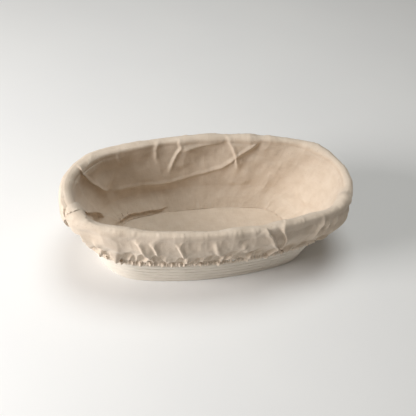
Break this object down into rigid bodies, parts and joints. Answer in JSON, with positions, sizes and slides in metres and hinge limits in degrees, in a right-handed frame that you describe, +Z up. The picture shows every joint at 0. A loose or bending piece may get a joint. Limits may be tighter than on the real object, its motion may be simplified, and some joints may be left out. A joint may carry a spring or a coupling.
{
  "type": "banneton basket",
  "caption": "Long oval proofing basket of coiled rattan cane, with a removable cloth liner that rolls over the rim and grips outside with an elastic hem.",
  "frame": {"origin": "middle of the underside of the base, on the surface that the basket stands on", "axes": "+X along the basket's length, +Y across it, +Z up out of the bowl"},
  "size_m": [0.3, 0.15, 0.09],
  "materials": {
    "cane": "matte natural rattan cane",
    "peg_wood": "matte split bamboo",
    "linen": "plain-woven linen, unbleached",
    "elastic": "braided flat elastic"
  },
  "bodies": {
    "basket": {"base_core_canes": "cane", "base_coil": "cane", "base_edge_hoop": "cane", "wall_course_01": "cane", "wall_course_02": "cane", "wall_course_03": "cane", "wall_course_04": "cane", "wall_course_05": "cane", "wall_course_06": "cane", "wall_course_07": "cane", "wall_course_08": "cane", "wall_course_09": "cane", "wall_course_10": "cane", "wall_course_11": "cane", "wall_course_12": "cane", "rim_course": "cane", "base_cross_pins": "peg_wood", "wall_pegs": "peg_wood"},
    "liner": {"liner_floor_panel": "linen", "liner_side_band": "linen", "liner_skirt": "linen", "liner_hem_casing": "linen", "liner_elastic": "elastic"}
  },
  "joints": [
    {"name": "liner_lift", "type": "slide", "parent": "basket", "child": "liner", "axis": [0, 0, 1], "range_m": [0, 0.13], "deforming": ["liner_skirt", "liner_hem_casing", "liner_elastic"]}
  ]
}
